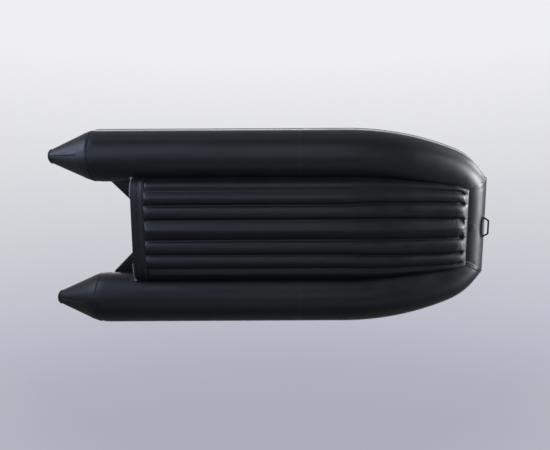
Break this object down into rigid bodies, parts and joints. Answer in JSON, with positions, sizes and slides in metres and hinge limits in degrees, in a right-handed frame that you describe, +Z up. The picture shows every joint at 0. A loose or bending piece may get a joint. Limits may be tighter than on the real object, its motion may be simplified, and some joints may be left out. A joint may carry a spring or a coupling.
{
  "type": "inflatable boat with an inflatable floor and a wooden transom",
  "caption": "Black inflatable boat with two buoyancy tubes, a blunt raised bow, a ribbed air floor, a raked transom for an outboard, sliding thwarts and stowed oars.",
  "frame": {"origin": "middle of the whole boat's box, on the ground under the air floor", "axes": "+X forward to the bow, +Y to port, +Z up"},
  "size_m": [3.593, 1.606, 0.5263],
  "materials": {
    "hull_fabric": "satin coated fabric",
    "floor_fabric": "satin coated fabric",
    "strake_white": "matt",
    "black_rubber": "matt",
    "transom_ply": "black painted plywood",
    "moulded_plastic": "moulded",
    "stainless_steel": "polished",
    "seat_ply": "painted plywood",
    "oar_tube": "anodised"
  },
  "bodies": {
    "hull": {"port_aft_tube": "hull_fabric", "starboard_aft_tube": "hull_fabric", "port_bow_tube": "hull_fabric", "starboard_bow_tube": "hull_fabric", "port_stern_cone": "hull_fabric", "starboard_stern_cone": "hull_fabric", "bow_cross_tube": "hull_fabric", "stern_tip_caps": "black_rubber", "inflatable_floor": "floor_fabric", "floor_aft_band": "floor_fabric", "transom_board": "transom_ply", "transom_outer_pad": "moulded_plastic", "transom_inner_pad": "moulded_plastic", "port_transom_profile": "black_rubber", "starboard_transom_profile": "black_rubber", "transom_knees": "floor_fabric", "drain_valves": "moulded_plastic", "towing_eyes": "stainless_steel", "port_strake_band": "strake_white", "starboard_strake_band": "strake_white", "bow_strake_band": "strake_white", "port_strake_ridge": "black_rubber", "starboard_strake_ridge": "black_rubber", "bow_strake_ridge": "black_rubber", "bow_handle_base": "black_rubber", "bow_handle_loop": "black_rubber", "bow_patch": "floor_fabric", "port_seat_rail": "black_rubber", "starboard_seat_rail": "black_rubber", "carry_handles": "black_rubber", "air_valves": "moulded_plastic", "rowlock_bases": "black_rubber", "rowlock_pins": "stainless_steel", "oar_rests": "black_rubber"},
    "aft_seat": {"aft_seat": "seat_ply"},
    "fore_seat": {"fore_seat": "seat_ply"},
    "port_oar": {"port_oar_loom": "oar_tube", "port_oar_collar": "moulded_plastic", "port_oar_grip": "black_rubber", "port_oar_blade": "moulded_plastic"},
    "starboard_oar": {"starboard_oar_loom": "oar_tube", "starboard_oar_collar": "moulded_plastic", "starboard_oar_grip": "black_rubber", "starboard_oar_blade": "moulded_plastic"}
  },
  "joints": [
    {"name": "aft_seat_slide", "type": "slide", "parent": "hull", "child": "aft_seat", "axis": [1, 0, 0], "range_m": [-0.2, 0.15]},
    {"name": "fore_seat_slide", "type": "slide", "parent": "hull", "child": "fore_seat", "axis": [1, 0, 0], "range_m": [-0.15, 0.15]},
    {"name": "port_oar_swing", "type": "hinge", "parent": "hull", "child": "port_oar", "pos_m": [-0.04594, 0.648, 0.492], "axis": [0, 0, -1], "range_deg": [0, 125]},
    {"name": "starboard_oar_swing", "type": "hinge", "parent": "hull", "child": "starboard_oar", "pos_m": [-0.04594, -0.648, 0.492], "axis": [0, 0, 1], "range_deg": [0, 125]}
  ]
}
